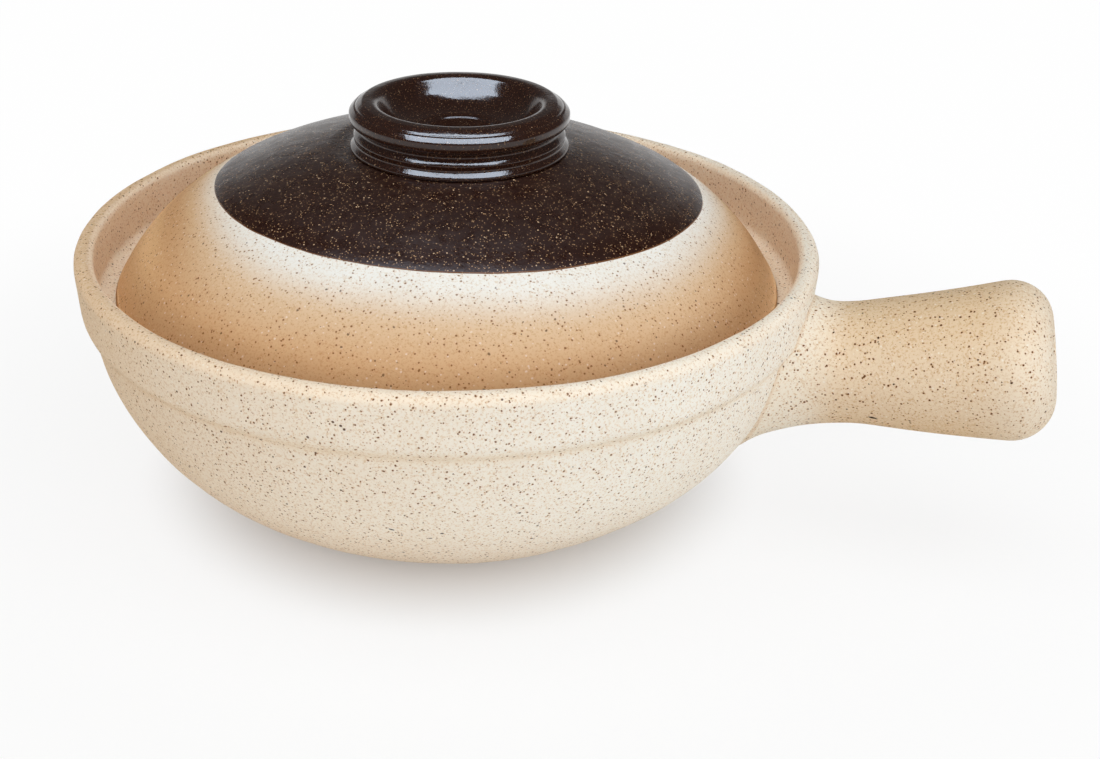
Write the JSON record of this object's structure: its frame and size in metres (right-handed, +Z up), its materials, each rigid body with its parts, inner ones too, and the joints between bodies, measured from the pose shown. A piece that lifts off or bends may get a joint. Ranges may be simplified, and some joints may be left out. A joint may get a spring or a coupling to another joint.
{
  "type": "single-handled pot",
  "caption": "Round clay cooking pot with one hollow stub handle, a stepped collar round its rim and a loose domed lid with a dished ring knob.",
  "frame": {"origin": "middle of the flat base, on the surface that the pot stands on", "axes": "+Z up, along the axis of the bowl; +X along the handle, away from the bowl"},
  "size_m": [0.2881, 0.2195, 0.1227],
  "materials": {
    "bowl_clay": "unglazed cream clay with iron specks",
    "handle_clay": "unglazed cream clay with iron specks",
    "liner_glaze": "glossy brown glaze",
    "lid_clay": "unglazed toasted clay with iron specks",
    "knob_glaze": "glossy dark brown glaze",
    "dark_glaze": "satin dark brown glaze with fine golden specks"
  },
  "bodies": {
    "pot": {"pot_bowl": "bowl_clay", "pot_handle": "handle_clay", "bowl_liner_glaze": "liner_glaze"},
    "lid": {"lid_dome": "lid_clay", "lid_knob": "knob_glaze", "lid_glaze": "dark_glaze"}
  },
  "joints": [
    {"name": "lid_lift", "type": "slide", "parent": "pot", "child": "lid", "axis": [0, 0, 1], "range_m": [0, 0.12]}
  ]
}
